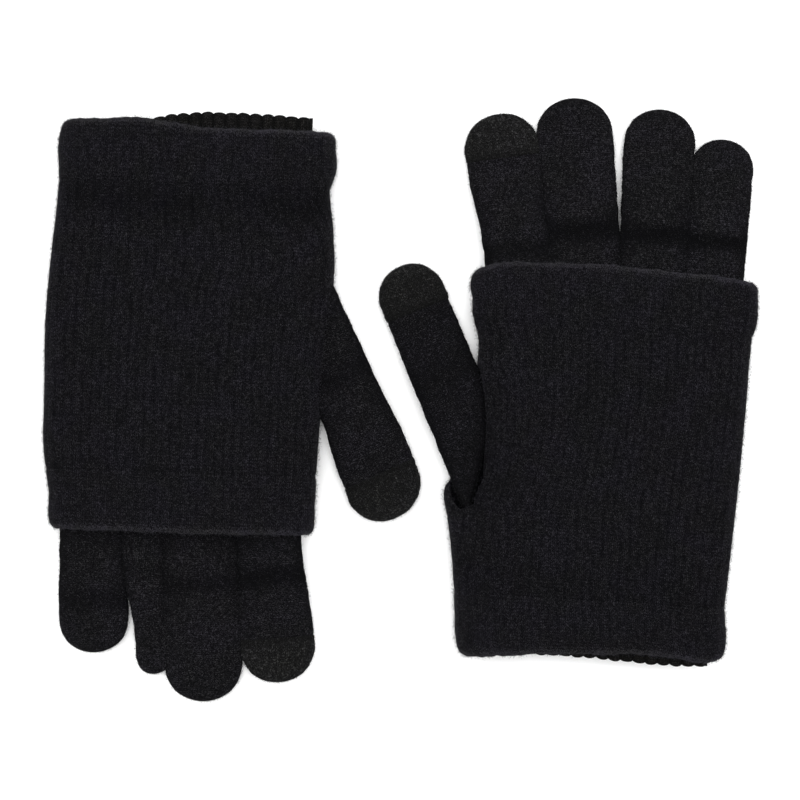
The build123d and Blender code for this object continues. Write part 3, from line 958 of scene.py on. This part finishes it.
thumbLean = 26.5
for side in sides:
    layers = ((makeSleeve(side), "sleeve"), (makeHem(side, "wrist"), "hem"), (makeHem(side, "finger"), "hem"))
    for piece, look in layers:
        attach(addFuzz(piece, look, "sleeveFibre"), side + "_sleeve")
    print(side, "sleeve ready")
    makeHand(side)
    cuff = makeCuff(side)
    outside = lambda point, inner=pastLine(side, "along", 1): ~inner(point)
    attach(addFuzz(cuff, "cuff", "linerFibre", outside), side + "_hand")
    print(side, "liner ready")

    for number, name in enumerate(("index", "middle", "ring", "little", "thumb")):
        isThumb = name == "thumb"
        spec = thumbShape[side] if isThumb else fingerShape[side][name]
        fold = toHand(side, jointNamed(f"{side}_{name}_bend")["pos_m"])
        lean = thumbLean if isThumb else spec["lean"]
        a = math.radians(lean)
        tipLength = {"index": tipKnit["length"], "thumb": tipKnit["thumbLength"]}.get(name, 0)
        d = {
            "spec": spec, "lean": lean, "foldLean": thumbLean if isThumb else 0, "fold": fold,
            "tipLength": tipLength,
            "root": (fold[0] + spec["shift"] * math.cos(a), fold[1] + spec["shift"] * math.sin(a)),
            "half": digitKnit["thumbHalf" if isThumb else "half"], "swing": spec.get("swing", 0.0),
            "inside": digitKnit["thumbInside" if isThumb else "inside"],
            "seed": (100 if side == "right" else 200) + 10 * number,
            "tipShading": 0.35 if isThumb else 0.15, "innerTaper": 0.88 if isThumb else 0.0,
            "rootShade": 0.12 if side == "right" and not isThumb else 0.0,
            "allShade": spec.get("shade", 0.0),
        }
        digit = makeDigit(side, name, d)
        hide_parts(f"{side}_thumb" if isThumb else f"{side}_{name}_finger")
        if isThumb:  # fibres only where the digit shows
            bare = pastLine(side, "across", 44)
        else:
            bare = pastLine(side, "along", sleeveShape[side]["length"] - 1)
        for piece in (digit, addFuzz(digit, "digit", "linerFibre", bare)):
            bendDigit(piece)
        if tipLength:
            tip = makeTip(side, name, d)
            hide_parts(f"{side}_{name}_touch_tip")
            for piece in (tip, addFuzz(tip, "tip", "linerFibre")):
                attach(piece, f"{side}_{name}")
    print(side, "fingers and thumb ready")


studio = {"floorSize": 6.0, "floorWhite": 0.93, "floorRough": 0.9, "floorGloss": 0.1, "floorDrop": 0.0002,
          "skyGlow": 0.55, "above": 0.7085, "lens": 85.0, "sensor": 36, "nearest": 0.01, "aim": (-1.61, -0.46)}
lights = {  # place, size and power
    "overhead": ((0.0, 0.1, 1.6), (1.6, 1.6), 26),
    "leftSoftbox": ((-1.3, 0.2, 0.7), (1.0, 0.8), 9),
    "rightSoftbox": ((1.3, 0.3, 0.7), (1.0, 0.8), 9),
    "backSoftbox": ((0.1, 1.4, 0.8), (1.2, 0.7), 7),
}


def makeFloor():
    bm = bmesh.new()
    bmesh.ops.create_grid(bm, x_segments=1, y_segments=1, size=studio["floorSize"] / 2)
    bmesh.ops.translate(bm, verts=bm.verts, vec=(0, 0, -studio["floorDrop"]))
    mesh = bpy.data.meshes.new("floor")
    bm.to_mesh(mesh)
    bm.free()
    material = bpy.data.materials.new("paper")
    material.use_nodes = True
    shader = material.node_tree.nodes["Principled BSDF"]
    shader.inputs["Base Color"].default_value = (*[studio["floorWhite"]] * 3, 1)
    shader.inputs["Roughness"].default_value = studio["floorRough"]
    shader.inputs["Specular IOR Level"].default_value = studio["floorGloss"]
    mesh.materials.append(material)
    floor = bpy.data.objects.new("floor", mesh)
    bpy.context.scene.collection.objects.link(floor)


def makeLight(name, place, size, power):
    light = bpy.data.lights.new(name, "AREA")
    light.shape = "RECTANGLE"
    light.size, light.size_y = size
    light.energy = power
    obj = bpy.data.objects.new(name, light)
    obj.location = place
    obj.rotation_euler = (-Vector(place)).to_track_quat("-Z", "Y").to_euler()
    bpy.context.scene.collection.objects.link(obj)


def makeCamera():
    camera = bpy.data.cameras.new("camera")
    camera.lens = studio["lens"]
    camera.sensor_width = studio["sensor"]
    camera.clip_start = studio["nearest"]
    obj = bpy.data.objects.new("camera", camera)
    obj.location = (studio["aim"][0] * mm, studio["aim"][1] * mm, studio["above"] + middleHeight * mm)
    bpy.context.scene.collection.objects.link(obj)
    bpy.context.scene.camera = obj


makeFloor()
for name, setting in lights.items():
    makeLight(name, *setting)
makeCamera()
world = bpy.data.worlds.new("studio")
world.use_nodes = True
world.node_tree.nodes["Background"].inputs["Color"].default_value = (1, 1, 1, 1)
world.node_tree.nodes["Background"].inputs["Strength"].default_value = studio["skyGlow"]
bpy.context.scene.world = world
bpy.context.scene.view_settings.view_transform = "Standard"
print("studio ready")
